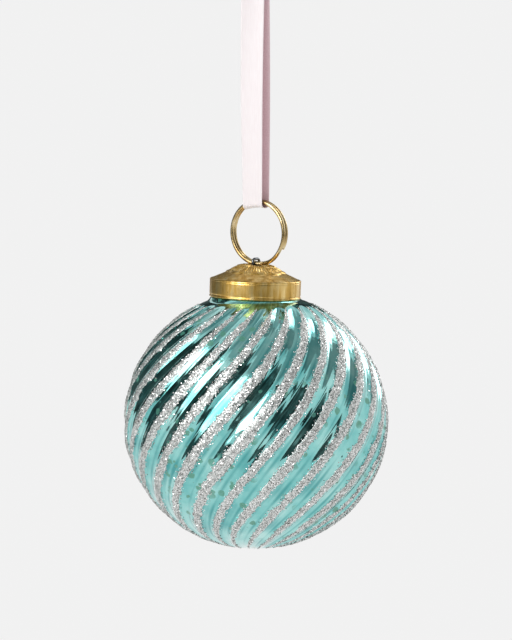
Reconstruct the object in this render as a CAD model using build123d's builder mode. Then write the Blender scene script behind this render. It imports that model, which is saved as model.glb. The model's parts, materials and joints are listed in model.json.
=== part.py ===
from build123d import *

import math
import os

# A blown glass ball ornament on a ribbon. Millimetres, +Z up, -Y towards the viewer.
# The origin is the hang point, where a hook carries the knotted ribbon. The object
# hangs down from it along the Z axis, the plumb line.

os.makedirs("parts", exist_ok=True)

# --- Driving dimensions -------------------------------------------------------------

# Ribbon
ribbon_width = 7.0
ribbon_thickness = 0.4
ribbon_drop = 74.0  # hang point to the axis that the ring swings on
knot_width = 9.0
knot_depth = 7.0
knot_height = 8.5
knot_swell = [(0.0, 0.78), (0.3, 1.0), (0.66, 0.97), (1.0, 0.6)]  # shares of its height and width
tail_length = 15.0
tail_width = 5.6
tail_splay = 16.0  # degrees each tail leans out from the vertical

# Split ring
ring_outer_diameter = 20.0
ring_wire = 1.2
ring_turn_gap = 0.06
ring_shift = 1.1  # the ring's centre lies this far beside the plumb line
ring_yaw = -34.5  # degrees, right side turned towards the viewer
ring_start = -30.0  # degrees round the ring where the far turn's end lies
ring_end = -81.0  # and the near turn's end

# Steel hanger wire
hanger_wire_diameter = 0.8
loop_corner = 1.0
leg_length = 22.0  # from the top of the cap to the feet
foot_hook = 1.6
knee_radius = 2.0
foot_radius = 0.8

# Pressed brass cap
cap_diameter = 27.6
cap_height = 9.9
skirt_height = 5.6
brass_sheet = 0.45
dome_diameter = 17.2
dome_height = 2.4
shoulder_hollow = 0.35  # the shoulder's rise at its middle, as a share of its whole rise
dome_crown = 0.78  # and the dome's
crest_diameter = 9.0  # of the dome's highest circle
crown_dimple = 0.5  # how far the hole's edge lies below it
cap_tilt = 2.0  # degrees, its right side lower

# Glass ball
ball_diameter = 80.0  # over the crests of the ribs
upper_half_height = 39.6
lower_half_height = 38.5
glass_wall = 1.0  # in the valleys between ribs
rib_count = 24
rib_height = 0.9  # crest to valley
rib_twist = 0.79  # degrees of longitude for each degree of latitude
twist_easing = 0.21  # how the twist slows towards the bottom, per radian
easing_latitude = -30.0
first_rib = -5.0  # longitude of the first crest at the equator, right of the front
flute_end = 1.2  # the flutes run out this far outside the cap's rim
flute_start = -84.0  # and from this latitude at the bottom
fade_top = 12.0  # degrees of latitude over which they run out
fade_bottom = 14.0
neck_wall = 1.2
collar_rise = 0.25  # how far the neck's foot stands above the cap's lowest edge
collar_hollow = 0.3
pip_height = 0.6
pip_round = 0.6

# Glitter bands
glitter_height = 0.4
glitter_edge = 0.22
glitter_share = 0.47  # of the distance between two crests
glitter_low = -76.0  # latitude where a band starts
glitter_stop = 5.0  # degrees of latitude below the end of the flutes where its tip ends
glitter_point = 14.0  # degrees of latitude over which each end narrows
glitter_tip = 0.2  # share of the full width at the tip
glitter_tail = 0.35  # and at the bottom end

# Clearances
ribbon_clearance = 0.1  # between the turning ring and the ribbon's bight
eye_clearance = 0.15  # between the turning ring, the hanger's loop and the cap
hole_clearance = 0.15  # between the hanger's legs and the cap's hole
leg_clearance = 0.15  # between the hanger's legs and the neck's bore
cap_seat = 0.25  # between the cap's rim and the glass shoulder
neck_fit = 0.65  # between the cap's skirt and the neck
glue_line = 0.12  # between a rib's crest and the underside of its glitter
neck_top_gap = 0.6  # between the neck's lip and the inside of the cap

ornament_swing = 18.0  # degrees that the hanger tips on the ring

# --- Positions that follow ----------------------------------------------------------

yaw = math.radians(ring_yaw)
across = Vector(math.cos(yaw), math.sin(yaw), 0)  # along the ring's tangent and the ribbon's width
forward = Vector(math.sin(yaw), -math.cos(yaw), 0)  # along the ring's axis, towards the viewer
up = Vector(0, 0, 1)

ring_radius = (ring_outer_diameter - ring_wire) / 2
layer = (ring_wire + ring_turn_gap) / 2  # each turn's distance from the ring's middle plane
stack_reach = layer + ring_wire / 2

# The ring's top wire curves away under the ribbon's two edges, and the axis lies halfway.
lowest_under_ribbon = ring_radius - math.sqrt(ring_radius**2 - (ring_shift + ribbon_width / 2) ** 2)
swing_axis_z = -ribbon_drop
ring_z = swing_axis_z + lowest_under_ribbon / 2 - ring_radius
bight_radius = (
    math.hypot(lowest_under_ribbon / 2, layer) + ring_wire / 2 + ribbon_clearance + ribbon_thickness / 2
)

# The hanger's loop holds both turns where the plumb line crosses the ring's bottom.
loop_axis_z = ring_z - math.sqrt(ring_radius**2 - ring_shift**2)
tip = math.radians(ornament_swing)
tipped_reach = layer * math.sin(tip) + ring_wire / 2 + eye_clearance
loop_half = stack_reach + eye_clearance / 2 + hanger_wire_diameter / 2
loop_top_z = loop_axis_z + tipped_reach + hanger_wire_diameter / 2
cap_top_z = loop_axis_z - tipped_reach

cap_hole_radius = loop_half + hanger_wire_diameter / 2 + hole_clearance
cap_radius = cap_diameter / 2
lean = math.radians(cap_tilt)
cap_axis = Vector(math.sin(lean), 0, math.cos(lean))
cap_side = Vector(math.cos(lean), 0, -math.sin(lean))
cap_plane = Plane(
    origin=Vector(0, 0, cap_top_z) - cap_axis * (cap_height - crown_dimple),
    x_dir=cap_side,
    z_dir=(0, -1, 0),
)
rim_low_z = cap_plane.origin.Z - (cap_radius + abs(cap_plane.origin.X)) * math.sin(lean)

ball_radius = ball_diameter / 2
shoulder_height = upper_half_height * math.sqrt(1 - (cap_radius / ball_radius) ** 2)
ball_z = rim_low_z - cap_seat - shoulder_height
top_latitude = math.degrees(math.acos((cap_radius + flute_end) / ball_radius))
glitter_high = top_latitude - glitter_stop
neck_radius = cap_radius - brass_sheet - neck_fit
neck_bore = neck_radius - neck_wall
neck_top_z = cap_plane.origin.Z + skirt_height - brass_sheet - neck_top_gap
foot_reach = neck_bore - leg_clearance - hanger_wire_diameter / 2


def ball_point(latitude, shrink=0.0):
    """Distance from the axis and height of the ball's crest surface, or a surface inside it."""
    half = upper_half_height if latitude > 0 else lower_half_height
    angle = math.radians(latitude)
    return (ball_radius - shrink) * math.cos(angle), ball_z + (half - shrink) * math.sin(angle)


def twist(latitude):
    """Longitude, in degrees, that a rib has turned through between the equator and a latitude."""
    eased = math.radians(min(0.0, latitude - easing_latitude))
    return rib_twist * latitude + math.degrees(twist_easing * eased**2)


def rib_depth(latitude):
    """Depth of the valleys: full over the ball and fading out at the neck and the bottom."""
    fade = min(1.0, (top_latitude - latitude) / fade_top, (latitude - flute_start) / fade_bottom)
    return rib_height * max(0.0, fade)


def crest_point(latitude, longitude=0.0):
    """A point on the crest of the first rib."""
    radius, height = ball_point(latitude)
    angle = math.radians(-90.0 + first_rib + longitude + twist(latitude))
    return Vector(radius * math.cos(angle), radius * math.sin(angle), height)


def rib_spacing(latitude):
    """The distance between two crests, square to the ribs."""
    slope = math.atan(rib_twist * math.cos(math.radians(latitude)))
    return 2 * math.pi * ball_point(latitude)[0] / rib_count * math.cos(slope)


def band_share(latitude):
    """The part of the rib spacing that the glitter covers, tapered at a band's two ends."""
    upper = (glitter_high - latitude) / glitter_point + glitter_tip
    lower = (latitude - glitter_low) / glitter_point + glitter_tail
    return glitter_share * min(1.0, upper, lower)


# --- Ribbon -------------------------------------------------------------------------

ribbon_plane = Plane(origin=(0, 0, 0), x_dir=forward, z_dir=-across)
with BuildPart() as ribbon:
    with BuildLine(ribbon_plane) as ribbon_line:
        front = Line((bight_radius, 0), (bight_radius, swing_axis_z))
        bight = ThreePointArc(
            (bight_radius, swing_axis_z), (0, swing_axis_z - bight_radius), (-bight_radius, swing_axis_z)
        )
        back = Line((-bight_radius, swing_axis_z), (-bight_radius, 0))
    with BuildSketch(Plane(origin=front @ 0, x_dir=across, z_dir=(0, 0, -1))):
        Rectangle(ribbon_width, ribbon_thickness)
    sweep(path=ribbon_line.wire())
print("ribbon bend radius", round(bight_radius, 2))
ribbon_length = ribbon_line.wire().length
ribbon_by_section = ribbon_length * ribbon_width * ribbon_thickness
print("ribbon volume", round(ribbon.part.volume, 2), round(ribbon_by_section, 2))

# The knot is a soft lump with a flat underside, and the two cut tails stand up from it.
knot_origin = Plane(origin=(0, 0, 0), x_dir=across, z_dir=(0, 0, 1))
with BuildPart() as ribbon_knot:
    for height, share in knot_swell:
        with BuildSketch(knot_origin.offset(height * knot_height)):
            Ellipse(knot_width / 2 * share, knot_depth / 2 * share)
    loft()
    for side in (-1, 1):
        tail_plane = Plane(
            origin=across * side * knot_width / 8 + Vector(0, 0, knot_height / 2),
            x_dir=across,
            z_dir=Vector(0, 0, 1).rotate(Axis((0, 0, 0), forward), side * tail_splay),
        )
        with BuildSketch(tail_plane):
            with Locations((0, side * ribbon_thickness)):
                Rectangle(tail_width, ribbon_thickness)
        extrude(amount=knot_height / 2 + tail_length)

# --- Split ring ---------------------------------------------------------------------

ring_origin = across * ring_shift + up * ring_z


def ring_point(degrees, side):
    """A point on the wire's centreline: side is -1 on the far turn and 1 on the near one."""
    angle = math.radians(degrees)
    outwards = across * math.cos(angle) + up * math.sin(angle)
    return ring_origin + outwards * ring_radius + forward * side * layer


def ring_tangent(degrees):
    """The wire's direction as it runs anticlockwise round the ring."""
    angle = math.radians(degrees)
    return up * math.cos(angle) - across * math.sin(angle)


jog_start = ring_end + 360.0
jog_end = ring_start + 360.0
with BuildPart() as split_ring:
    with BuildLine() as ring_line:
        middle = (ring_start + jog_start) / 2
        far_turn = ThreePointArc(
            ring_point(ring_start, -1), ring_point(middle, -1), ring_point(jog_start, -1)
        )
        jog = Spline(
            ring_point(jog_start, -1),
            ring_point((jog_start + jog_end) / 2, 0),
            ring_point(jog_end, 1),
            tangents=(ring_tangent(jog_start), ring_tangent(jog_end)),
        )
        middle = (jog_end + ring_end + 720.0) / 2
        near_turn = ThreePointArc(
            ring_point(jog_end, 1), ring_point(middle, 1), ring_point(ring_end + 720.0, 1)
        )
    with BuildSketch(Plane(origin=far_turn @ 0, z_dir=far_turn % 0)):
        Circle(ring_wire / 2)
    sweep(path=ring_line.wire())

# --- Steel hanger wire --------------------------------------------------------------

hanger_plane = Plane(origin=(0, 0, 0), x_dir=forward, z_dir=-across)
foot_z = cap_top_z - leg_length
under_cap_z = cap_top_z - 2 * knee_radius
half_route = [
    (foot_reach - foot_hook, foot_z - foot_hook / 2),
    (foot_reach, foot_z),
    (loop_half, under_cap_z),
    (loop_half, loop_top_z),
]
hanger_route = half_route + [(-x, z) for x, z in reversed(half_route)]
with BuildPart() as hanger_wire:
    with BuildLine(hanger_plane) as hanger_line:
        FilletPolyline(
            *hanger_route,
            radius=[foot_radius, knee_radius, loop_corner, loop_corner, knee_radius, foot_radius],
        )
    with BuildSketch(Plane(origin=hanger_line.wire() @ 0, z_dir=hanger_line.wire() % 0)):
        Circle(hanger_wire_diameter / 2)
    sweep(path=hanger_line.wire())

# --- Pressed brass cap --------------------------------------------------------------

dome_radius = dome_diameter / 2
crest_radius = crest_diameter / 2
dome_foot = cap_height - dome_height
with BuildPart() as cap:
    with BuildSketch(cap_plane):
        with BuildLine():
            skirt = Polyline((cap_radius, 0), (cap_radius, skirt_height))
            shoulder = ThreePointArc(
                skirt @ 1,
                ((cap_radius + dome_radius) / 2, skirt_height + (dome_foot - skirt_height) * shoulder_hollow),
                (dome_radius, dome_foot),
            )
            dome = ThreePointArc(
                shoulder @ 1,
                ((dome_radius + crest_radius) / 2, dome_foot + dome_height * dome_crown),
                (crest_radius, cap_height),
            )
            Line(dome @ 1, (cap_hole_radius, cap_height - crown_dimple))
            offset(amount=brass_sheet, side=Side.LEFT)
        make_face()
    revolve(axis=Axis(cap_plane.origin, cap_axis))

# --- Glass ball ---------------------------------------------------------------------

points_per_rib = 4
level_count = 20
collar_z = rim_low_z + collar_rise
ledge = 0.02  # the turned ends meet the fluted body just inside its edge
with BuildPart() as glass_ball:
    for level in range(level_count):
        latitude = flute_start + (top_latitude - flute_start) * level / (level_count - 1)
        radius, height = ball_point(latitude)
        start = math.radians(-90 + first_rib + twist(latitude))
        outline = []
        for step in range(rib_count * points_per_rib):
            dip = (1 - math.cos(2 * math.pi * step / points_per_rib)) / 2
            angle = start + 2 * math.pi * step / (rib_count * points_per_rib)
            reach = radius - rib_depth(latitude) * dip
            outline.append((reach * math.cos(angle), reach * math.sin(angle)))
        heading = (-math.sin(start), math.cos(start))
        with BuildSketch(Plane.XY.offset(height)):
            with BuildLine():
                Spline(*outline, outline[0], tangents=(heading, heading))
            make_face()
    loft()
    # The short neck rises out of the shoulder through a small hollow curve.
    shoulder_r, shoulder_z = ball_point(top_latitude)
    with BuildSketch(Plane.XZ):
        with BuildLine():
            Polyline((neck_radius, collar_z), (neck_radius, neck_top_z), (0, neck_top_z), (0, shoulder_z))
            Line((0, shoulder_z), (shoulder_r - ledge, shoulder_z))
            ThreePointArc(
                (shoulder_r - ledge, shoulder_z),
                (neck_radius + collar_hollow, (shoulder_z + collar_z) / 2),
                (neck_radius, collar_z),
            )
        make_face()
    revolve(axis=Axis.Z)
    # The gather is closed at the bottom by a small melted pip.
    foot_r, foot_low_z = ball_point(flute_start)
    with BuildSketch(Plane.XZ):
        with BuildLine():
            Polyline((foot_r - ledge, foot_low_z), (0, foot_low_z), (0, foot_low_z - pip_height))
            ThreePointArc(
                (0, foot_low_z - pip_height),
                (foot_r * pip_round, foot_low_z - pip_height * pip_round),
                (foot_r - ledge, foot_low_z),
            )
        make_face()
    revolve(axis=Axis.Z)
    # The hollow follows the outside, and opens through the neck.
    hollow = rib_height + glass_wall
    inner_radius = ball_radius - hollow
    bore_latitude = math.degrees(math.acos(neck_bore / inner_radius))
    with BuildSketch(Plane.XZ):
        with BuildLine():
            lower = EllipticalCenterArc(
                (0, ball_z), inner_radius, lower_half_height - hollow, -90, arc_size=90
            )
            upper = EllipticalCenterArc(
                (0, ball_z), inner_radius, upper_half_height - hollow, 0, arc_size=bore_latitude
            )
            Polyline(upper @ 1, (neck_bore, neck_top_z), (0, neck_top_z), lower @ 0)
        make_face()
    revolve(axis=Axis.Z, mode=Mode.SUBTRACT)

# --- Glitter bands ------------------------------------------------------------------

band_levels = 16
with BuildPart() as band_pattern:
    for level in range(band_levels):
        latitude = glitter_low + (glitter_high - glitter_low) * level / (band_levels - 1)
        here = crest_point(latitude)
        along = (crest_point(latitude + 0.5) - crest_point(latitude - 0.5)).normalized()
        sideways = (crest_point(latitude, 0.5) - crest_point(latitude, -0.5)).normalized()
        outward = sideways.cross(along).normalized()
        share = band_share(latitude)
        half = share * rib_spacing(latitude) / 2
        drop = rib_depth(latitude) * (1 - math.cos(math.pi * share)) / 2 + half**2 / ball_diameter
        with BuildSketch(Plane(origin=here, x_dir=outward.cross(along), z_dir=along)):
            with BuildLine():
                ThreePointArc((-half, glue_line - drop), (0, glue_line), (half, glue_line - drop))
                Line((half, glue_line - drop), (half, glitter_edge - drop))
                ThreePointArc((half, glitter_edge - drop), (0, glitter_height), (-half, glitter_edge - drop))
                Line((-half, glitter_edge - drop), (-half, glue_line - drop))
            make_face()
    loft()

# --- Files --------------------------------------------------------------------------

pieces = {
    "ribbon": ribbon,
    "ribbon_knot": ribbon_knot,
    "split_ring": split_ring,
    "hanger_wire": hanger_wire,
    "cap": cap,
    "glass_ball": glass_ball,
}
for name, piece in pieces.items():
    piece.part.label = name
    export_step(piece.part, f"parts/{name}.step")

for number in range(rib_count):
    with BuildPart() as glitter_band:
        add(band_pattern.part, rotation=(0, 0, number * 360.0 / rib_count))
    name = f"glitter_band_{number + 1:02d}"
    glitter_band.part.label = name
    export_step(glitter_band.part, f"parts/{name}.step")
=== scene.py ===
import json
import math

import bpy
import numpy as np
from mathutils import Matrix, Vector, noise


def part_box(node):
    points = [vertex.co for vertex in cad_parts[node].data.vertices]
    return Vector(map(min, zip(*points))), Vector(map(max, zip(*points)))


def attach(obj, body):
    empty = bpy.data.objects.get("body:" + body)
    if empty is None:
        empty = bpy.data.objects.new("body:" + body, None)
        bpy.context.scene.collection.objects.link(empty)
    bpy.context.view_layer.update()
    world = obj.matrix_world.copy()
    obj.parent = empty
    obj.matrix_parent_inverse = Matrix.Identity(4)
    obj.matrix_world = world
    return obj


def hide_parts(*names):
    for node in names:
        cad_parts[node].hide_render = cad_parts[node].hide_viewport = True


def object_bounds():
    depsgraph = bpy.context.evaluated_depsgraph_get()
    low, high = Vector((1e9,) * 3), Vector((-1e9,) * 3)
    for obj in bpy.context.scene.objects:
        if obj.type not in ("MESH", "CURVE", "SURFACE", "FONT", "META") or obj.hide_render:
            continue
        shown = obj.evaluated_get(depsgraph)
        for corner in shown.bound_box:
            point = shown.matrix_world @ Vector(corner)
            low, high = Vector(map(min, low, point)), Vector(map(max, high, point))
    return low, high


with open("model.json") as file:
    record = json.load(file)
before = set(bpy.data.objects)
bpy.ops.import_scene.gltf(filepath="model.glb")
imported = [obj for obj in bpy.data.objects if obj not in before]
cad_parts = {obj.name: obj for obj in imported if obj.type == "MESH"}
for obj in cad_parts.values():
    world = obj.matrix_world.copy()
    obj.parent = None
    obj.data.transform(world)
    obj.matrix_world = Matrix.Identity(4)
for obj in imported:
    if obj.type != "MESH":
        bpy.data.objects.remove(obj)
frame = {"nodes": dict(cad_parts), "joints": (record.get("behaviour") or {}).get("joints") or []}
cad_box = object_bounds()
joints = {joint["name"]: joint for joint in frame["joints"]}


# --- Glass ball ---------------------------------------------------------------------
# The ball is thin soda-lime glass, blown into a mould whose flutes run round it in a
# spiral. It is silvered inside and lacquered teal, and its short neck is cut off flat.

mm = 0.001
ball_radius = 40.0 * mm
upper_half = 39.6 * mm
lower_half = 38.5 * mm
pip_height = 0.6 * mm
rib_count = 24
rib_height = 0.95 * mm
rib_twist = 0.79  # degrees of longitude for each degree of latitude
twist_easing = 0.21  # how the twist slows towards the bottom, per radian
easing_latitude = -30.0
first_rib = -5.0  # longitude of the first crest at the equator
ridge_sharpness = 0.35  # from 0, a plain wave, to 1, hollow flutes with sharp edges
draw_lines = 0.055  # depth of the fine lines along the flutes, as a share of their depth
uneven_ribs = 0.55  # degrees that the mould's ribs stray from even spacing
top_latitude = 68.0
flute_top = 66.5  # latitude where the flutes begin, and over how many degrees they deepen
flute_rise = 6.0
bottom_latitude = -84.0
flute_fade = 14.0  # degrees over which the flutes fade out towards the bottom
ripple_fade = 6.0  # and over which the mould's waves fade out below the neck
neck_radius = 12.7 * mm
neck_bore = 11.5 * mm
glass_wall = 1.0 * mm
cap_radius = 13.8 * mm
cap_tilt = math.radians(2.0)  # its right side is lower, and the glass shoulder follows it
rim_reach = 13.65 * mm  # the shoulder comes up under the cap's rim as far in as this
collar_radius = 13.2 * mm  # and a short collar stands inside the cap's skirt
collar_rise = 1.4 * mm
even_rise = 0.55  # share of the shoulder's rise that is even, and the rest is steep at the cap
rim_gap = 0.1 * mm
glass_columns_per_rib = 20
glass_levels = 150
mould_waves = [(14.0 * mm, 0.13 * mm), (4.5 * mm, 0.05 * mm)]  # size and height of each
lacquer_drift = 7.0 * mm  # how wide the places are where the lacquer ran thicker

ball_low, ball_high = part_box("glass_ball")
ball_z = ball_low.z + pip_height - lower_half * math.sin(math.radians(bottom_latitude))
ball_centre = Vector((0, 0, ball_z))


def hex_colour(code):
    """An sRGB hex colour as linear red, green, blue and alpha."""
    parts = [int(code[i : i + 2], 16) / 255 for i in (1, 3, 5)]
    return [p / 12.92 if p <= 0.04045 else ((p + 0.055) / 1.055) ** 2.4 for p in parts] + [1.0]


def add_node(tree, kind, inputs=None, stops=None, **settings):
    """Adds a node with its settings, its inputs as values or links, and a ramp's stops."""
    node = tree.nodes.new(kind)
    for name, value in settings.items():
        setattr(node, name, value)
    for name, value in (inputs or {}).items():
        if isinstance(value, bpy.types.NodeSocket):
            tree.links.new(value, node.inputs[name])
        else:
            node.inputs[name].default_value = value
    for number, (place, shade) in enumerate(stops or []):
        elements = node.color_ramp.elements
        element = elements[number] if number < 2 else elements.new(place)
        element.position = place
        element.color = hex_colour(shade)
    return node


def new_material(name, **values):
    """A material with one Principled shader, whose uniform values are set on its sockets."""
    material = bpy.data.materials.new(name)
    material.use_nodes = True
    shader = material.node_tree.nodes["Principled BSDF"]
    for socket, value in values.items():
        shader.inputs[socket.replace("_", " ")].default_value = value
    return material, material.node_tree, shader


def mesh_piece(name, points, faces, material, smooth=True):
    """A mesh object from an array of points and a list of faces."""
    mesh = bpy.data.meshes.new(name)
    mesh.from_pydata([tuple(p) for p in points], [], faces)
    mesh.polygons.foreach_set("use_smooth", [smooth] * len(mesh.polygons))
    mesh.materials.append(material)
    mesh.update()
    piece = bpy.data.objects.new(name, mesh)
    bpy.context.scene.collection.objects.link(piece)
    return piece


def lathe_faces(rows, columns, closed_rows=False):
    """Faces of a grid that closes round its columns, and round its rows too if it is a tube."""
    faces = []
    for row in range(rows if closed_rows else rows - 1):
        below, above = row * columns, (row + 1) % rows * columns
        for column in range(columns):
            after = (column + 1) % columns
            faces.append((below + column, below + after, above + after, above + column))
    return faces


def capped_faces(rows, columns):
    """Faces of a grid that closes round its columns, with one flat face over each open end."""
    faces = lathe_faces(rows, columns)
    faces.append(tuple(reversed(range(columns))))
    faces.append(tuple(range((rows - 1) * columns, rows * columns)))
    return faces


def ball_outline(latitude, shrink=0.0):
    """Distance from the axis and height of the ball's crest surface, or a surface inside it."""
    half = np.where(latitude > 0, upper_half, lower_half)
    angle = np.radians(latitude)
    return (ball_radius - shrink) * np.cos(angle), ball_z + (half - shrink) * np.sin(angle)


def rib_longitude(rib, latitude):
    """Longitude in degrees of a place round the ball, counted in ribs from the first crest."""
    eased = np.radians(np.minimum(0.0, latitude - easing_latitude))
    twist = rib_twist * latitude + np.degrees(twist_easing * eased**2)
    turn = 2 * math.pi * rib / rib_count
    stray = np.sin(5 * turn + 1.3) + 0.7 * np.sin(9 * turn + 0.4)
    stray = stray + 0.6 * np.sin(7 * turn + np.radians(latitude) * 5.0)
    return -90.0 + first_rib + 360.0 / rib_count * rib + twist + uneven_ribs * stray


def rib_depth(latitude):
    """Depth of the flutes: full over the ball and fading out at the neck and the bottom."""
    fade_top = np.clip((flute_top - latitude) / flute_rise, 0.0, 1.0)
    fade_bottom = np.clip((latitude - bottom_latitude) / flute_fade, 0.0, 1.0)
    return rib_height * fade_top * fade_bottom


def glass_surface(rib, latitude):
    """Points on the outside of the fluted glass."""
    rib, latitude = np.broadcast_arrays(np.asarray(rib, float), np.asarray(latitude, float))
    radius, height = ball_outline(latitude)
    wave = (1 - np.cos(2 * math.pi * rib)) / 2
    hollow = np.abs(np.sin(math.pi * rib))
    dip = wave + ridge_sharpness * (hollow - wave)
    wander = 1.2 * np.sin(np.radians(latitude) * 4.0 + 2 * rib)
    dip = dip + draw_lines * np.sin(2 * math.pi * 4 * rib + wander) * hollow
    reach = radius - rib_depth(latitude) * dip
    angle = np.radians(rib_longitude(rib, latitude))
    points = np.stack([reach * np.cos(angle), reach * np.sin(angle), height], axis=-1)
    outward = (points - [0, 0, ball_z]) / ball_radius
    ripple = np.zeros(points.shape[:-1])
    for size, depth in mould_waves:
        flat = [noise.noise(Vector(p) / size) for p in points.reshape(-1, 3)]
        ripple += depth * np.array(flat).reshape(ripple.shape)
    ripple *= np.clip((top_latitude - latitude) / ripple_fade, 0.0, 1.0)
    return points + outward * ripple[..., None]


def painted_streaks_and_pooling(points):
    """Darker teal, from 0 to 1: fine stripes along the flutes that are painted reflection lines, and broad
    patches where the lacquer ran thicker.
    """
    x, y, z = points.T
    latitude = np.degrees(np.arcsin(np.clip((z - ball_z) / upper_half, -1.0, 1.0)))
    rib = (np.degrees(np.arctan2(y, x)) - rib_longitude(0, latitude)) * rib_count / 360.0
    # Fine stripes along the flutes, three and five to a rib: painted reflection lines.
    painted_lines = np.sin(2 * math.pi * 3 * rib + 1.4 * np.sin(np.radians(latitude) * 3.0))
    painted_lines = painted_lines + 0.8 * np.sin(2 * math.pi * 5 * rib + 2.0 * np.cos(np.radians(latitude) * 5.0))
    drift = np.array([noise.noise(Vector(p) / lacquer_drift) for p in points])
    return np.clip(0.16 + 0.26 * painted_lines + 0.8 * drift, 0.0, 0.8)


def lathe_row(radius, height, columns):
    """A plain circle of points round the plumb line."""
    angle = np.radians(rib_longitude(np.arange(columns) / glass_columns_per_rib, top_latitude))
    return np.stack([radius * np.cos(angle), radius * np.sin(angle), height + np.zeros(columns)], -1)


glass_columns = rib_count * glass_columns_per_rib
foot_r, foot_z = ball_outline(np.array(bottom_latitude))
shoulder_r, shoulder_z = ball_outline(np.array(top_latitude))
rim_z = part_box("cap")[0].z + cap_radius * math.sin(cap_tilt) - rim_gap
inner_radius = ball_radius - rib_height - glass_wall
bore_latitude = math.degrees(math.acos(neck_bore / inner_radius))
lip = (neck_radius - neck_bore) / 2

glass_rows = [lathe_row(foot_r * share, foot_z - pip_height * math.cos(share * math.pi / 2), glass_columns)
              for share in (0.02, 0.3, 0.6, 0.85)]
columns_in_ribs = np.arange(glass_columns)[None, :] / glass_columns_per_rib
levels = np.linspace(bottom_latitude, top_latitude, glass_levels)[:, None]
glass_rows += list(glass_surface(columns_in_ribs, levels))
rim_slope = -lathe_row(1.0, 0.0, glass_columns)[:, 0] * math.tan(cap_tilt)
for share in np.linspace(0, 1, 9)[1:]:
    radius = float(shoulder_r) + (rim_reach - float(shoulder_r)) * share
    rise = even_rise * share + (1 - even_rise) * share**2.5
    height = float(shoulder_z) * (1 - rise) + (rim_z + rim_slope * radius) * rise
    glass_rows.append(lathe_row(radius, height, glass_columns))
for radius, rise in ((collar_radius, 0.0), (collar_radius, 1.0), (neck_radius, 1.3)):
    glass_rows.append(lathe_row(radius, height + collar_rise * rise, glass_columns))
for turn in np.linspace(0, math.pi, 9):  # the neck's rounded lip
    radius = neck_bore + lip + lip * math.cos(turn)
    glass_rows.append(lathe_row(radius, ball_high.z - lip + lip * math.sin(turn), glass_columns))
for latitude in np.linspace(bore_latitude, -89.0, 30):
    radius, height = ball_outline(np.array(latitude), rib_height + glass_wall)
    glass_rows.append(lathe_row(float(radius), float(height), glass_columns))
glass_points = np.concatenate(glass_rows)
glass_faces = capped_faces(len(glass_rows), glass_columns)

# Silvered glass under a transparent teal lacquer is a mirror with a clear coat. Its
# silvering has aged into round dull spots, and the blown wall bends what it mirrors.
silvered_glass, tree, shader = new_material(
    "teal_silvered_glass", Coat_Weight=0.8, Coat_Roughness=0.03, Coat_IOR=1.5
)
place = add_node(tree, "ShaderNodeTexCoord").outputs["Object"]
clouds = add_node(tree, "ShaderNodeTexNoise", {"Vector": place, "Scale": 1 / (9 * mm), "Detail": 4.0})
lacquer = add_node(tree, "ShaderNodeValToRGB", {"Fac": clouds.outputs["Fac"]},
                   stops=[(0.34, "#6FC3C1"), (0.5, "#90D6D2"), (0.68, "#AEE5E0")])
# The glass turns darker teal along painted reflection lines on the flutes, and where the lacquer ran
# thicker.
streaks_and_pooling = add_node(tree, "ShaderNodeAttribute", attribute_name="painted_streaks_and_pooling")
lacquer = add_node(tree, "ShaderNodeMix", {"Factor": streaks_and_pooling.outputs["Fac"], "A": lacquer.outputs["Color"],
                                           "B": hex_colour("#2C9698")}, data_type="RGBA")
edges = add_node(tree, "ShaderNodeTexNoise", {"Vector": place, "Scale": 1 / (1.6 * mm), "Detail": 2.0})
bent = add_node(tree, "ShaderNodeMix", {"Factor": 0.0009, "A": place, "B": edges.outputs["Color"]},
                data_type="RGBA", blend_type="ADD", clamp_factor=False)
spots = add_node(tree, "ShaderNodeTexVoronoi",
                 {"Vector": bent.outputs["Result"], "Scale": 1 / (3.1 * mm), "Randomness": 1.0})
spot_size = add_node(tree, "ShaderNodeSeparateColor", {"Color": spots.outputs["Color"]})
spot_reach = add_node(tree, "ShaderNodeMath", {0: spot_size.outputs["Red"], 1: 0.42}, operation="MULTIPLY")
spot_depth = add_node(tree, "ShaderNodeMath", {0: spot_reach.outputs["Value"], 1: spots.outputs["Distance"]},
                      operation="SUBTRACT")
spot_edge = add_node(tree, "ShaderNodeMapRange",
                     {"Value": spot_depth.outputs["Value"], "From Min": -0.02, "From Max": 0.07})
patches = add_node(tree, "ShaderNodeTexNoise", {"Vector": place, "Scale": 1 / (13 * mm), "Detail": 2.0})
patch_edge = add_node(tree, "ShaderNodeMapRange",
                      {"Value": patches.outputs["Fac"], "From Min": 0.38, "From Max": 0.52})
aged = add_node(tree, "ShaderNodeMath", {0: spot_edge.outputs["Result"], 1: patch_edge.outputs["Result"]},
                operation="MULTIPLY")
tint = add_node(tree, "ShaderNodeMix", {"Factor": aged.outputs["Value"], "A": lacquer.outputs["Result"],
                                        "B": hex_colour("#569A86")}, data_type="RGBA")
tree.links.new(tint.outputs["Result"], shader.inputs["Base Color"])
silver = add_node(tree, "ShaderNodeMapRange",
                  {"Value": aged.outputs["Value"], "To Min": 1.0, "To Max": 0.4})
tree.links.new(silver.outputs["Result"], shader.inputs["Metallic"])
haze = add_node(tree, "ShaderNodeTexNoise", {"Vector": place, "Scale": 1 / (3 * mm), "Detail": 5.0})
gloss = add_node(tree, "ShaderNodeMapRange",
                 {"Value": haze.outputs["Fac"], "From Min": 0.4, "From Max": 0.75,
                  "To Min": 0.04, "To Max": 0.16})
tree.links.new(gloss.outputs["Result"], shader.inputs["Roughness"])
crinkle = add_node(tree, "ShaderNodeTexNoise",
                   {"Vector": place, "Scale": 1 / (2.2 * mm), "Detail": 3.0, "Distortion": 0.6})
bump = add_node(tree, "ShaderNodeBump",
                {"Height": crinkle.outputs["Fac"], "Strength": 0.5, "Distance": 0.05 * mm})
tree.links.new(bump.outputs["Normal"], shader.inputs["Normal"])

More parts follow.
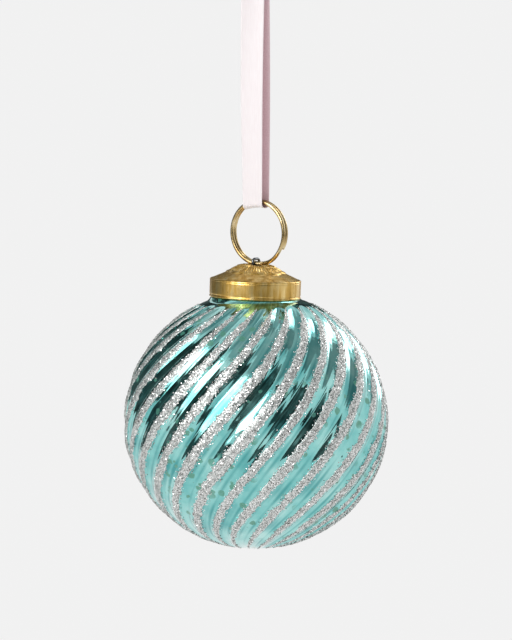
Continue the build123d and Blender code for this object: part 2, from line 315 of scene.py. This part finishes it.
ball = mesh_piece("silvered_ball", glass_points, glass_faces, silvered_glass)
streak_and_pool_layer = ball.data.attributes.new("painted_streaks_and_pooling", "FLOAT", "POINT")
streak_and_pool_layer.data.foreach_set("value", painted_streaks_and_pooling(glass_points))
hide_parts("glass_ball")
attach(ball, "ball")


# --- Glitter bands ------------------------------------------------------------------
# Each rib carries a line of clear glue, run on by hand from a bottle and dusted with
# coarse silver glitter: hexagonal flakes of metallised film that lie at all angles.

glitter_low = -76.0
glitter_high = 64.5
glitter_point = 14.0  # degrees over which a band narrows to its top, and what it keeps there
blunt_top = 0.15
glitter_tail = 50.0  # and the same for its slow narrowing towards the bottom
blunt_tail = 0.42
glitter_share = 0.41  # of the distance between two crests
glue_height = 0.15 * mm
glue_edge = 0.05 * mm  # the depth that the glue's edge wets into the flute
stray_lift = 0.02 * mm  # what holds a stray flake off the glass, beyond the glue
edge_ragged = 0.36  # how far a band's edges stray, as a share of its half width
flake_sizes = (0.22 * mm, 0.4 * mm)
flakes_per_band = 2600
flake_scatter = 0.66  # how flakes spread about a band's middle, in half widths
flake_limit = 1.35  # and the furthest that one lies
flake_lift = (0.01 * mm, 0.06 * mm)
flake_tilt = 23.0  # degrees that flakes fall at, and how far the glue lets them keep it
flake_settling = 0.7
lump_size = 0.9 * mm
lump_height = 0.04 * mm
ragged_steps = [(24.0, 0.7), (5.0, 0.9), (1.6, 0.7), (0.7, 0.5)]  # degrees of latitude, and share
glue_rows = 250
glue_columns = 10
glue_under = [glue_columns - 2, glue_columns // 2, 1]  # columns repeated inside the glass
under_depth = 0.5 * mm


def band_half(rib, latitude, side):
    """Half width of a band as a share of the rib spacing, ragged at both its edges."""
    upper = np.clip((glitter_high - latitude) / glitter_point + blunt_top, 0.0, 1.0)
    lower = np.clip((latitude - glitter_low) / glitter_tail + blunt_tail, 0.0, 1.0)
    seed = rib * 7.3 + side * 31.7
    ragged = [sum(share * noise.noise(Vector((seed, float(l) / size, size))) for size, share in ragged_steps)
              for l in np.ravel(latitude)]
    stray = edge_ragged * np.array(ragged).reshape(np.shape(latitude))
    return glitter_share / 2 * np.minimum(upper, lower) * (1 + stray)


def glue_surface(rib, latitude, across):
    """Points on top of a band's glue, with across from -1 to 1 between its edges."""
    left, right = band_half(rib, latitude, -1), band_half(rib, latitude, 1)
    offset = np.where(across < 0, left * across, right * across)
    points = glass_surface(rib + offset, latitude)
    outward = points - [0, 0, ball_z]
    outward = outward / np.linalg.norm(outward, axis=-1, keepdims=True)
    crown = (glue_height + glue_edge) * np.clip(1 - across**2, 0.0, 1.0) ** 0.7 - glue_edge
    crown = np.where(np.abs(across) > 1, stray_lift, crown)
    return points + outward * crown[..., None], outward


# Glue with fine glitter dust in it, between the larger flakes: cells of film a third of
# a millimetre wide, each with its own shade.
dust, tree, shader = new_material("glitter_dust_in_glue", Metallic=0.4, Roughness=0.4)
place = add_node(tree, "ShaderNodeTexCoord").outputs["Object"]
grains = add_node(tree, "ShaderNodeTexVoronoi", {"Vector": place, "Scale": 1 / (0.3 * mm)})
shade = add_node(tree, "ShaderNodeSeparateColor", {"Color": grains.outputs["Color"]})
film = add_node(tree, "ShaderNodeValToRGB", {"Fac": shade.outputs["Red"]},
                stops=[(0.0, "#5A6A68"), (0.16, "#98A3A1"), (0.4, "#C0C5C3"), (0.8, "#E2E4E2"),
                       (1.0, "#FCFCFB")])
tree.links.new(film.outputs["Color"], shader.inputs["Base Color"])
bump = add_node(tree, "ShaderNodeBump",
                {"Height": shade.outputs["Green"], "Strength": 1.0, "Distance": 0.05 * mm})
tree.links.new(bump.outputs["Normal"], shader.inputs["Normal"])

# Metallised film, bright as foil. A few flakes are dark brown, and the spread of the rest from grey to pure
# white is painted sparkle.
flake_film, tree, shader = new_material("silver_glitter_flake", Metallic=0.85, Roughness=0.2)
flake_number = add_node(tree, "ShaderNodeNewGeometry").outputs["Random Per Island"]
flake_tone_and_sparkle = add_node(tree, "ShaderNodeValToRGB", {"Fac": flake_number},
                stops=[(0.0, "#443B33"), (0.12, "#7F7974"), (0.3, "#C2C0BD"), (0.75, "#FFFFFF")])
tree.links.new(flake_tone_and_sparkle.outputs["Color"], shader.inputs["Base Color"])

for number in range(rib_count):
    dice = np.random.default_rng(100 + number)
    latitudes = np.linspace(glitter_low, glitter_high, glue_rows)
    top = np.linspace(-1, 1, glue_columns)
    points, outward = glue_surface(number, np.repeat(latitudes, glue_columns), np.tile(top, glue_rows))
    lumps = np.array([noise.noise(Vector(p) / lump_size) for p in points]) * lump_height
    points = (points + outward * lumps[:, None]).reshape(glue_rows, glue_columns, 3)
    outward = outward.reshape(glue_rows, glue_columns, 3)
    under = points[:, glue_under] - outward[:, glue_under] * under_depth
    strip = np.concatenate([points, under], axis=1)
    strip_faces = capped_faces(*strip.shape[:2])

    # Flakes lie where the band is wide, and thin out towards its edges.
    tries = dice.uniform(glitter_low, glitter_high, flakes_per_band * 3)
    width = np.cos(np.radians(tries)) * band_half(number, tries, 0)
    latitude = tries[dice.random(len(tries)) * width.max() < width][:flakes_per_band]
    across = dice.normal(0, flake_scatter, len(latitude))
    kept = np.abs(across) < flake_limit
    latitude, across = latitude[kept], across[kept]
    count = len(latitude)
    spot, normal = glue_surface(number, latitude, across)
    spot = spot + normal * dice.uniform(*flake_lift, (count, 1))
    leaning = np.tan(np.radians(flake_tilt)) * dice.normal(0, 1, (count, 3))
    facing = normal + leaning * flake_settling
    facing /= np.linalg.norm(facing, axis=1, keepdims=True)
    first = np.cross(facing, dice.normal(0, 1, (count, 3)))
    first /= np.linalg.norm(first, axis=1, keepdims=True)
    second = np.cross(facing, first)
    reach = dice.uniform(*flake_sizes, count)[:, None] / 2
    corners = [spot + reach * (first * math.cos(a) + second * math.sin(a))
               for a in np.arange(6) * math.pi / 3]
    flakes = np.stack(corners, axis=1).reshape(-1, 3)
    start = len(strip.reshape(-1, 3))
    flake_faces = [tuple(range(start + 6 * n, start + 6 * n + 6)) for n in range(count)]
    name = f"glitter_line_{number + 1:02d}"
    band = mesh_piece(name, np.concatenate([strip.reshape(-1, 3), flakes]), strip_faces + flake_faces, dust)
    band.data.materials.append(flake_film)
    slots = [0] * len(strip_faces) + [1] * len(flake_faces)
    band.data.polygons.foreach_set("material_index", slots)
    band.data.polygons.foreach_set("use_smooth", [slot == 0 for slot in slots])
    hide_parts(f"glitter_band_{number + 1:02d}")
    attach(band, "ball")


# --- Cap ----------------------------------------------------------------------------
# The cap is pressed from thin brass sheet: a plain skirt with a turned edge, a hollow
# shoulder, and a dome embossed as a flower with two rows of veined petals.

cap_height = 9.9 * mm
crown_dimple = 0.5 * mm  # how far the hole's edge lies below the dome's top
skirt_height = 5.6 * mm
sheet = 0.45 * mm
edge_roll = 0.5 * mm  # inner radius of the bead between the skirt and the shoulder
bead = edge_roll * 1.06
turned_edge = 0.28 * mm  # how far the skirt's lower edge is turned out, and half its height
turned_height = 0.32 * mm
crown_rise = 4.5 * mm
dome_radius = 8.6 * mm
dome_swell = 0.35 * mm
dimple_radius = 4.6 * mm
dimple_depth = 1.2 * mm
cap_hole = 2.25 * mm
hole_edge = 0.12 * mm
petal_count = 8
outer_petals = (9.3 * mm, 1.2 * mm, 0.24 * mm)  # reach, depth of the scallops and rise of a row
inner_petals = (6.2 * mm, 0.9 * mm, 0.16 * mm)
petal_rim = 0.1 * mm
petal_crease = 0.2 * mm
vein_count = 56
vein_height = 0.075 * mm
vein_reach = (2.7 * mm, 8.4 * mm)
dent_size = 3.0 * mm
dent_depth = 0.045 * mm
cap_columns = 384

cap_top_z = joints["ball_turn"]["pos_m"][2]
cap_axis = Vector((math.sin(cap_tilt), 0, math.cos(cap_tilt)))
cap_side = Vector((math.cos(cap_tilt), 0, -math.sin(cap_tilt)))
cap_origin = Vector((0, 0, cap_top_z)) - cap_axis * (cap_height - crown_dimple)


def ease(value):
    """A smooth step from 0 to 1."""
    value = np.clip(value, 0.0, 1.0)
    return value * value * (3 - 2 * value)


def petal_row(radius, turn, reach, scallop, rise, offset):
    """How far a row of petals stands up, with a raised rim round each one's rounded end."""
    lobe = np.abs(np.cos(petal_count * (turn + offset) / 2)) ** 0.55
    edge = reach - scallop + scallop * lobe
    inside = (edge - radius) / (0.5 * mm)
    rim = np.exp(-(((edge - 0.35 * mm - radius) / (0.25 * mm)) ** 2))
    crease = np.exp(-((lobe / 0.35) ** 2)) * ease(inside) * ease((radius - 3.2 * mm) / (1.5 * mm))
    return rise * ease(inside) + petal_rim * rim - petal_crease * crease


def cap_surface(radius, turn):
    """Height of the cap's upper side over its rim, from the skirt's edge in to the hole."""
    inward = np.clip(1 - (radius / (cap_radius - edge_roll)) ** 1.5, 0.0, 1.0)
    slope = skirt_height + crown_rise * inward**1.05
    dome = slope + dome_swell * ease((dome_radius - radius) / (2.5 * mm))
    dimple = dimple_depth * ease((dimple_radius - radius) / (dimple_radius - cap_hole))
    outer = petal_row(radius, turn, *outer_petals, 0.0)
    inner = petal_row(radius, turn, *inner_petals, math.pi / petal_count)
    veined = ease((vein_reach[1] - radius) / mm) * ease((radius - vein_reach[0]) / mm)
    veins = vein_height * np.cos(vein_count * turn) * veined
    return dome - dimple + outer + inner + veins


turn = np.arange(cap_columns) / cap_columns * 2 * math.pi
cap_rows = []


def cap_row(radius, height):
    """Adds a ring of points at a radius and height, each a number or one for each column."""
    outward = np.outer(np.cos(turn), cap_side) + np.outer(np.sin(turn), (0, 1, 0))
    heights = np.ones(cap_columns) * height
    points = np.array(cap_origin) + outward * np.reshape(radius, (-1, 1)) + np.outer(heights, cap_axis)
    dents = [noise.noise(p / dent_size) * dent_depth for p in map(Vector, points)]
    cap_rows.append(points + outward * np.array(dents)[:, None])


inside_radius = cap_radius - sheet
for bend in np.linspace(-90, 90, 7):  # the skirt's turned lower edge
    angle = math.radians(bend)
    height = turned_height + turned_height * math.sin(angle)
    cap_row(cap_radius - sheet / 2 + turned_edge * math.cos(angle), height)
for height in np.linspace(1.0 * mm, skirt_height - edge_roll * 1.6, 16):
    cap_row(cap_radius, height)
for bend in np.linspace(-30, 110, 9):  # the rounded bead between skirt and shoulder
    angle = math.radians(bend)
    height = skirt_height - edge_roll + bead * math.sin(angle)
    cap_row(cap_radius - edge_roll + bead * math.cos(angle), height)
for radius in np.linspace(cap_radius - edge_roll * 1.9, cap_hole + hole_edge, 84):
    cap_row(radius, cap_surface(radius, turn))
hole_lip = cap_surface(cap_hole, turn)
cap_row(cap_hole, hole_lip - 0.1 * mm)
cap_row(cap_hole, hole_lip - 0.35 * mm)
for radius in np.linspace(cap_hole + hole_edge, inside_radius - edge_roll, 40):
    cap_row(radius, cap_surface(radius, turn) - sheet)
for height in np.linspace(skirt_height - edge_roll * 1.6, 0.4 * mm, 8):
    cap_row(inside_radius, height)
cap_points = np.concatenate(cap_rows)
cap_faces = lathe_faces(len(cap_rows), cap_columns, closed_rows=True)

# Pressed brass, left satin by the tool and browned by age: tarnish lies in streaks down the skirt, and a few
# small pits show.
aged_brass, tree, shader = new_material("aged_pressed_brass", Metallic=1.0)
place = add_node(tree, "ShaderNodeTexCoord").outputs["Object"]
drawn = add_node(tree, "ShaderNodeMapping", {"Vector": place, "Scale": (1.0, 1.0, 0.16)})
streaks = add_node(tree, "ShaderNodeTexNoise",
                   {"Vector": drawn.outputs["Vector"], "Scale": 1 / (1.9 * mm), "Detail": 4.0,
                    "Roughness": 0.6})
brass = add_node(tree, "ShaderNodeValToRGB", {"Fac": streaks.outputs["Fac"]},
                 stops=[(0.28, "#94702E"), (0.48, "#CBA456"), (0.72, "#F0D89A")])
pits = add_node(tree, "ShaderNodeTexVoronoi", {"Vector": place, "Scale": 1 / (1.7 * mm)})
pit_edge = add_node(tree, "ShaderNodeMapRange",
                    {"Value": pits.outputs["Distance"], "From Min": 0.05, "From Max": 0.11,
                     "To Min": 0.75, "To Max": 0.0})
pitted = add_node(tree, "ShaderNodeMix", {"Factor": pit_edge.outputs["Result"], "A": brass.outputs["Color"],
                                          "B": hex_colour("#6E5222")}, data_type="RGBA")
tree.links.new(pitted.outputs["Result"], shader.inputs["Base Color"])
satin = add_node(tree, "ShaderNodeMapRange",
                 {"Value": streaks.outputs["Fac"], "From Min": 0.3, "From Max": 0.7,
                  "To Min": 0.42, "To Max": 0.26})
tree.links.new(satin.outputs["Result"], shader.inputs["Roughness"])
grain = add_node(tree, "ShaderNodeTexNoise",
                 {"Vector": drawn.outputs["Vector"], "Scale": 1 / (0.35 * mm), "Detail": 3.0})
bump = add_node(tree, "ShaderNodeBump",
                {"Height": grain.outputs["Fac"], "Strength": 0.35, "Distance": 0.03 * mm})
tree.links.new(bump.outputs["Normal"], shader.inputs["Normal"])

pressed_cap = mesh_piece("pressed_cap", cap_points, cap_faces, aged_brass)
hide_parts("cap")
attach(pressed_cap, "cap")


# --- Hanger wire --------------------------------------------------------------------
# The hanger is bent from one length of drawn spring steel. Its loop holds the ring, and
# its sprung legs grip the inside of the neck.

spring_steel, tree, shader = new_material("drawn_spring_steel", Metallic=1.0)
place = add_node(tree, "ShaderNodeTexCoord").outputs["Object"]
bloom = add_node(tree, "ShaderNodeTexNoise", {"Vector": place, "Scale": 1 / (1.5 * mm), "Detail": 3.0})
steel = add_node(tree, "ShaderNodeValToRGB", {"Fac": bloom.outputs["Fac"]},
                 stops=[(0.35, "#4A4C4E"), (0.7, "#8B8E90")])
tree.links.new(steel.outputs["Color"], shader.inputs["Base Color"])
drawn_gloss = add_node(tree, "ShaderNodeMapRange",
                       {"Value": bloom.outputs["Fac"], "To Min": 0.16, "To Max": 0.36})
tree.links.new(drawn_gloss.outputs["Result"], shader.inputs["Roughness"])

hanger = frame["nodes"]["hanger_wire"]
hanger.data.materials.clear()
hanger.data.materials.append(spring_steel)


# --- Split ring ---------------------------------------------------------------------
# The split ring is nearly two turns of round brass wire, pressed close together. It was barrel-polished, and
# it has toned darker in broad random patches.

ring_radius = 9.4 * mm
ring_wire = 1.2 * mm
ring_layer = 0.63 * mm  # each turn's distance from the ring's middle plane
ring_start = -30.0  # degrees round the ring where the far turn's end lies
ring_end = -81.0  # and the near turn's end
wire_end_round = 0.12 * mm
ring_rows = 420
wire_columns = 20

across = Vector(joints["ring_swing"]["axis"])
forward = Vector((across.y, -across.x, 0))
ring_low, ring_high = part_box("split_ring")
ring_centre = (ring_low + ring_high) / 2

turn = np.radians(np.linspace(ring_start, ring_end + 720.0, ring_rows))
step_over = ease((np.degrees(turn) - ring_end - 360.0) / (ring_start - ring_end))
outwards = np.outer(np.cos(turn), across) + np.outer(np.sin(turn), (0, 0, 1))
ring_line = np.array(ring_centre) + outwards * ring_radius
ring_line += np.outer(2 * step_over - 1, forward) * ring_layer
from_end = np.minimum(turn - turn[0], turn[-1] - turn) * ring_radius
wire_radius = ring_wire / 2 - wire_end_round * (1 - ease(from_end / wire_end_round))
round_wire = np.arange(wire_columns) / wire_columns * 2 * math.pi
out, ahead = (np.outer(wire_radius, wave(round_wire))[..., None] for wave in (np.cos, np.sin))
wire_points = ring_line[:, None] + outwards[:, None] * out + np.array(forward) * ahead
wire_faces = capped_faces(ring_rows, wire_columns)

ring_brass, tree, shader = new_material("polished_brass_wire", Metallic=1.0)
place = add_node(tree, "ShaderNodeTexCoord").outputs["Object"]
toning = add_node(tree, "ShaderNodeTexNoise",
                  {"Vector": place, "Scale": 1 / (6.0 * mm), "Detail": 1.5})
wire = add_node(tree, "ShaderNodeValToRGB", {"Fac": toning.outputs["Fac"]},
                stops=[(0.36, "#8C744A"), (0.52, "#CCB380"), (0.66, "#F0E1BE")])
tree.links.new(wire.outputs["Color"], shader.inputs["Base Color"])
wire_gloss = add_node(tree, "ShaderNodeMapRange",
                      {"Value": toning.outputs["Fac"], "To Min": 0.18, "To Max": 0.3})
tree.links.new(wire_gloss.outputs["Result"], shader.inputs["Roughness"])

ring = mesh_piece("split_ring_wire", wire_points.reshape(-1, 3), wire_faces, ring_brass)
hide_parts("split_ring")
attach(ring, "ring")


# --- Ribbon -------------------------------------------------------------------------
# The ribbon is woven polyester satin, 7 mm wide, with a corded selvedge along each edge.
# It goes through the ring once, and its two strands are pulled tight by the ball.

ribbon_width = 7.0 * mm
ribbon_thickness = 0.26 * mm
selvedge = 0.36 * mm
ribbon_cup = 0.22 * mm  # how far the strip is hollow across its width
front_turn = math.radians(31.0)  # that the front strand turns on its way up
back_turn = math.radians(9.0)
bight_reach = 1.771 * mm
bight_low = 1.15 * mm
bight_lean = 0.55 * mm  # its left edge lies this much lower, where the ring curves down
lean_reach = 4.0 * mm  # height above the bight over which that lean is lost
route_rows = 420

bight_axis = Vector(joints["ring_swing"]["pos_m"])


def strand_point(reach, height, sideways=0.0):
    """A point of the ribbon's route, in front of the plumb line or behind it."""
    return forward * reach + across * sideways + Vector((0, 0, height))


ribbon_route = [
    strand_point(1.2 * mm, 0.0),
    strand_point(2.0 * mm, -32.0 * mm, -0.35 * mm),
    strand_point(bight_reach, bight_axis.z + bight_low),
    strand_point(bight_reach, bight_axis.z - bight_low),
    strand_point(-bight_reach, bight_axis.z - bight_low),
    strand_point(-bight_reach, bight_axis.z + bight_low),
    strand_point(-2.0 * mm, -32.0 * mm, 0.2 * mm),
    strand_point(-1.2 * mm, 0.0),
]


def smooth_route(name, points):
    """Points read from the smooth curve that has these as its control points."""
    curve = bpy.data.curves.new(name, "CURVE")
    curve.dimensions = "3D"
    curve.resolution_u = 40
    spline = curve.splines.new("NURBS")
    spline.points.add(len(points) - 1)
    for knot, point in zip(spline.points, points):
        knot.co = (*point, 1.0)
    spline.order_u = 3
    spline.use_endpoint_u = True
    holder = bpy.data.objects.new(name, curve)
    mesh = bpy.data.meshes.new_from_object(holder)
    read = np.array([v.co for v in mesh.vertices])
    bpy.data.objects.remove(holder)
    bpy.data.meshes.remove(mesh)
    return read


def even_points(points, count):
    """The same route, in evenly spaced points."""
    steps = np.linalg.norm(np.diff(points, axis=0), axis=1)
    along = np.concatenate([[0], np.cumsum(steps)])
    wanted = np.linspace(0, along[-1], count)
    return np.stack([np.interp(wanted, along, points[:, k]) for k in range(3)], axis=1)


strip_columns = 15
strip_share = np.sin(np.linspace(-math.pi / 2, math.pi / 2, strip_columns))  # across its width


def strip_rows(route, sideways, width, thickness, cup, edge=0.0):
    """Rings of points round a flat strip that follows a route, with its width along sideways."""
    tangent = np.gradient(route, axis=0)
    tangent /= np.linalg.norm(tangent, axis=1, keepdims=True)
    sideways = sideways - tangent * np.sum(sideways * tangent, axis=1, keepdims=True)
    sideways /= np.linalg.norm(sideways, axis=1, keepdims=True)
    face = np.cross(tangent, sideways)
    body = thickness / 2 * np.clip((1 - strip_share**2) * 12, 0.0, 1.0) ** 0.5
    corded = np.maximum(body, edge / 2 * np.exp(-(((np.abs(strip_share) - 0.955) / 0.03) ** 2)))
    corded = corded * np.clip((1 - np.abs(strip_share)) * 60, 0.12, 1.0)
    bow = cup * (strip_share**2 - 0.4)
    upper = [(k, bow[k] + corded[k]) for k in range(strip_columns)]
    lower = [(k, bow[k] - corded[k]) for k in range(strip_columns - 2, 0, -1)]
    rows = [route + sideways * (strip_share[k] * width / 2) + face * lift for k, lift in upper + lower]
    return np.stack(rows, axis=1)


route_points = even_points(smooth_route("ribbon_route", ribbon_route), route_rows)
height = route_points[:, 2]
is_front = np.arange(len(route_points)) < len(route_points) / 2
climb = np.clip((height - bight_axis.z) / abs(bight_axis.z), 0.0, 1.0)
turned = np.where(is_front, front_turn, back_turn) * climb
ribbon_sideways = np.outer(np.cos(turned), across) - np.outer(np.sin(turned), forward)
ribbon_grid = strip_rows(route_points, ribbon_sideways, ribbon_width, ribbon_thickness, ribbon_cup, selvedge)
round_share = np.concatenate([strip_share, strip_share[-2:0:-1]])
near_bight = np.clip(1 - (height - bight_axis.z) / lean_reach, 0.0, 1.0)
ribbon_grid[:, :, 2] -= np.outer(near_bight, ((1 - round_share) / 2) ** 2) * bight_lean
ribbon_faces = capped_faces(*ribbon_grid.shape[:2])
reverse_side = [face[0] % len(round_share) >= strip_columns - 1 for face in ribbon_faces[:-2]]

# Polyester satin: long floats of bright filament give a soft sheen along the strip, and
# the face is pale and even. Its threads are drawn at twice their spacing.
satin_cloth, tree, shader = new_material(
    "woven_satin", Roughness=0.42, Sheen_Weight=0.35, Sheen_Roughness=0.3
)
place = add_node(tree, "ShaderNodeTexCoord").outputs["Object"]
warp_map = add_node(tree, "ShaderNodeMapping", {"Vector": place, "Scale": (1.0, 1.0, 0.06)})
warp = add_node(tree, "ShaderNodeTexNoise",
                {"Vector": warp_map.outputs["Vector"], "Scale": 1 / (0.22 * mm), "Detail": 2.0})
cloth_tone = add_node(tree, "ShaderNodeValToRGB", {"Fac": warp.outputs["Fac"]},
                      stops=[(0.3, "#F1E8E9"), (0.7, "#F6EFF0")])
tree.links.new(cloth_tone.outputs["Color"], shader.inputs["Base Color"])
bump = add_node(tree, "ShaderNodeBump",
                {"Height": warp.outputs["Fac"], "Strength": 0.3, "Distance": 0.04 * mm})
tree.links.new(bump.outputs["Normal"], shader.inputs["Normal"])

# The weave's reverse has no long floats, so it is duller. Its darker, pinker colour is painted shade: the
# back strand shows the reverse and hangs in shadow.
shaded_satin_reverse, tree, shader = new_material(
    "shaded_satin_reverse", Roughness=0.6, Sheen_Weight=0.2, Sheen_Roughness=0.4
)
place = add_node(tree, "ShaderNodeTexCoord").outputs["Object"]
weft = add_node(tree, "ShaderNodeTexNoise", {"Vector": place, "Scale": 1 / (0.3 * mm), "Detail": 2.0})
reverse_painted_shade = add_node(tree, "ShaderNodeValToRGB", {"Fac": weft.outputs["Fac"]},
                        stops=[(0.3, "#D5B6BC"), (0.7, "#E2C9CE")])
tree.links.new(reverse_painted_shade.outputs["Color"], shader.inputs["Base Color"])

satin_ribbon = mesh_piece("satin_ribbon", ribbon_grid.reshape(-1, 3), ribbon_faces, satin_cloth)
satin_ribbon.data.materials.append(shaded_satin_reverse)
# The reverse faces, which the back strand shows, get the painted shade, and the two end caps get the face.
faced = [int(side) for side in reverse_side] + [0, 0]
satin_ribbon.data.polygons.foreach_set("material_index", faced)
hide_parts("ribbon")
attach(satin_ribbon, "ribbon")


# --- Knot ---------------------------------------------------------------------------
# The two strands are tied together in an overhand knot, pulled small. The cut tails stand up from it.

wrap_width = 5.2 * mm
second_wrap_width = 3.4 * mm
tail_width = 6.6 * mm
folded = (0.9 * mm, -0.5 * mm)  # thickness, and how far the strip is hollow across its width
flat = (ribbon_thickness, 0.3 * mm)
knot_rows = 70


def knot_strip(points, sideways, width, thickness, cup):
    """Points and faces of a length of ribbon in the knot, with its sideways at both ends."""
    route = even_points(smooth_route("knot_route", points), knot_rows)
    first, last = np.array(sideways)
    blend = np.linspace(0, 1, knot_rows)[:, None]
    grid = strip_rows(route, first * (1 - blend) + last * blend, width, thickness, cup)
    return grid.reshape(-1, 3), capped_faces(*grid.shape[:2])


def knot_point(x, y, z):
    """A point near the knot: x across the ribbon, y towards the viewer and z up, in millimetres."""
    return across * (x * mm) + forward * (y * mm) + Vector((0, 0, z * mm))


upward = Vector((0, 0, 1))
strips = [
    ([(-3.9, 0.4, 2.6), (-3.6, 3.1, 2.4), (0.2, 3.5, 3.2), (4.0, 3.0, 4.6), (4.2, 0, 5.0), (3.6, -3.0, 4.4),
      (-0.2, -3.4, 3.4), (-3.8, -3.0, 2.6), (-4.2, -0.4, 2.8), (-3.4, 2.2, 3.4)],
     (upward + across * 0.25, upward + across * 0.25), wrap_width, *folded),
    ([(3.4, 1.6, 5.6), (1.6, 3.3, 6.2), (-1.6, 3.2, 6.4), (-3.6, 0.8, 6.0), (-2.8, -2.6, 5.4),
      (0.6, -3.2, 5.4), (3.2, -1.4, 6.0)],
     (upward - across * 0.3, upward - across * 0.3), second_wrap_width, *folded),
    ([(-0.6, 0.5, 4.0), (-1.2, 0.7, 9.0), (-3.0, 1.6, 14.0), (-4.6, 0.9, 18.5), (-5.2, 0.2, 23.0)],
     (across, across * 0.9 + forward * 0.45), tail_width, *flat),
    ([(0.6, -0.5, 4.0), (1.4, -0.7, 9.0), (2.6, -1.4, 14.0), (4.8, -1.6, 18.0), (5.6, -0.6, 22.2)],
     (across, across * 0.85 - forward * 0.5), tail_width, *flat),
]
points, faces = [], []
for path, *strip in strips:
    strip_points, strip_faces = knot_strip([knot_point(*p) for p in path], *strip)
    start = sum(len(p) for p in points)
    points.append(strip_points)
    faces += [tuple(start + k for k in face) for face in strip_faces]
knot = mesh_piece("tied_knot", np.concatenate(points), faces, satin_cloth)
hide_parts("ribbon_knot")
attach(knot, "ribbon")


# --- Studio -------------------------------------------------------------------------
# The ornament hangs in a pale round studio whose floor runs up into its wall. A large
# soft light stands to the front left, and dark flags give the mirror something to show.

studio_radius = 2.6
floor_drop = 0.16
camera_distance = 1.0
camera_rise = math.radians(5.0)
picture_height = 193.9 * mm
aim_above_ball = 31.0 * mm
sensor = 36.0
wall_bend = 1.0
wall_height = 4.0
studio_rounds = 96
card_steps = 13
air_light = 0.8


def glowing(name, shade, strength):
    """A material that only gives light."""
    material, tree, shader = new_material(name, Base_Color=(0, 0, 0, 1), Roughness=1.0)
    shader.inputs["Emission Color"].default_value = hex_colour(shade)
    shader.inputs["Emission Strength"].default_value = strength
    return material


def card(name, azimuths, elevations, distance, material):
    """A curved card round the ball that only mirrors and light rays meet. Azimuth 0 is the
    viewer's side and 90 the right."""
    turns = np.radians(np.linspace(*azimuths, card_steps))
    rises = np.radians(np.linspace(*elevations, card_steps))
    rays = [Vector((math.sin(t) * math.cos(e), -math.cos(t) * math.cos(e), math.sin(e)))
            for e in rises for t in turns]
    points = [ball_centre + distance * ray for ray in rays]
    steps = range(card_steps - 1)
    corners = [row * card_steps + column for row in steps for column in steps]
    faces = [(c, c + 1, c + card_steps + 1, c + card_steps) for c in corners]
    piece = mesh_piece(name, points, faces, material)
    piece.visible_camera = False
    piece.visible_diffuse = material.name.startswith("softbox")
    piece.visible_shadow = False
    return piece


floor_z = cad_box[0][2] - floor_drop
floor_radius = studio_radius - wall_bend
profile = [(0.001, floor_z), (floor_radius, floor_z)]
profile += [(floor_radius + wall_bend * math.sin(a), floor_z + wall_bend - wall_bend * math.cos(a))
            for a in np.linspace(0.1, math.pi / 2, 16)]
profile += [(studio_radius, floor_z + wall_height)]
turns = np.arange(studio_rounds) / studio_rounds * 2 * math.pi
studio_points = [(r * math.cos(t), r * math.sin(t), z) for r, z in profile for t in turns]
studio_paper, tree, shader = new_material(
    "studio_paper", Base_Color=(0.03, 0.03, 0.03, 1), Roughness=1.0, Specular_IOR_Level=0.0
)
shader.inputs["Emission Color"].default_value = hex_colour("#EEEEEE")
shader.inputs["Emission Strength"].default_value = 1.0
studio = mesh_piece("studio", studio_points, lathe_faces(len(profile), studio_rounds), studio_paper)

dim_room, tree, shader = new_material(
    "dim_room", Base_Color=(0, 0, 0, 1), Roughness=1.0, Specular_IOR_Level=0.0
)
place = add_node(tree, "ShaderNodeTexCoord").outputs["Object"]
clutter = add_node(tree, "ShaderNodeTexNoise", {"Vector": place, "Scale": 2.4, "Detail": 3.0})
gloom = add_node(tree, "ShaderNodeValToRGB", {"Fac": clutter.outputs["Fac"]},
                 stops=[(0.4, "#2A302F"), (0.57, "#4F5756"), (0.74, "#999E9D")])
tree.links.new(gloom.outputs["Color"], shader.inputs["Emission Color"])
shader.inputs["Emission Strength"].default_value = 1.0
card("front_flag", (-8, 42), (-36, 52), 1.5, dim_room)
card("low_flag", (-68, -8), (-46, 4), 1.34, dim_room)
card("left_flag", (-150, -76), (-20, 50), 1.5, dim_room)
card("right_flag", (70, 118), (24, 76), 1.5, glowing("mid_grey", "#868C8C", 1.0))
card("right_sliver", (50, 58), (-34, 44), 1.5, dim_room)
card("back_flag", (160, 200), (-10, 45), 1.5, dim_room)
card("ceiling", (0, 360), (58, 89), 1.7, glowing("ceiling_grey", "#AEB2B2", 1.0))
card("low_reflector", (0, 360), (-89, -34), 1.4, glowing("reflector_white", "#FFFFFF", 1.3))
card("key_light", (-74, -46), (8, 56), 1.36, glowing("softbox_white", "#FFFFFF", 3.0))
card("glint_light", (-46, -24), (16, 48), 1.3, glowing("glint_white", "#FFFFFF", 11.0))
card("back_light", (126, 148), (10, 56), 1.3, glowing("strip_white", "#FFFFFF", 4.0))

world = bpy.data.worlds.new("studio_air")
bpy.context.scene.world = world
world.use_nodes = True
air = world.node_tree.nodes["Background"]
air.inputs["Color"].default_value = hex_colour("#F4F4F4")
air.inputs["Strength"].default_value = air_light

aim = ball_centre + Vector((0, 0, aim_above_ball))
camera_data = bpy.data.cameras.new("camera")
camera_data.sensor_width = sensor
camera_data.lens = sensor * camera_distance / picture_height
camera = bpy.data.objects.new("camera", camera_data)
bpy.context.scene.collection.objects.link(camera)
camera.location = aim + camera_distance * Vector((0, -math.cos(camera_rise), math.sin(camera_rise)))
camera.rotation_euler = (aim - camera.location).to_track_quat("-Z", "Y").to_euler()
bpy.context.scene.camera = camera
bpy.context.scene.view_settings.view_transform = "Standard"
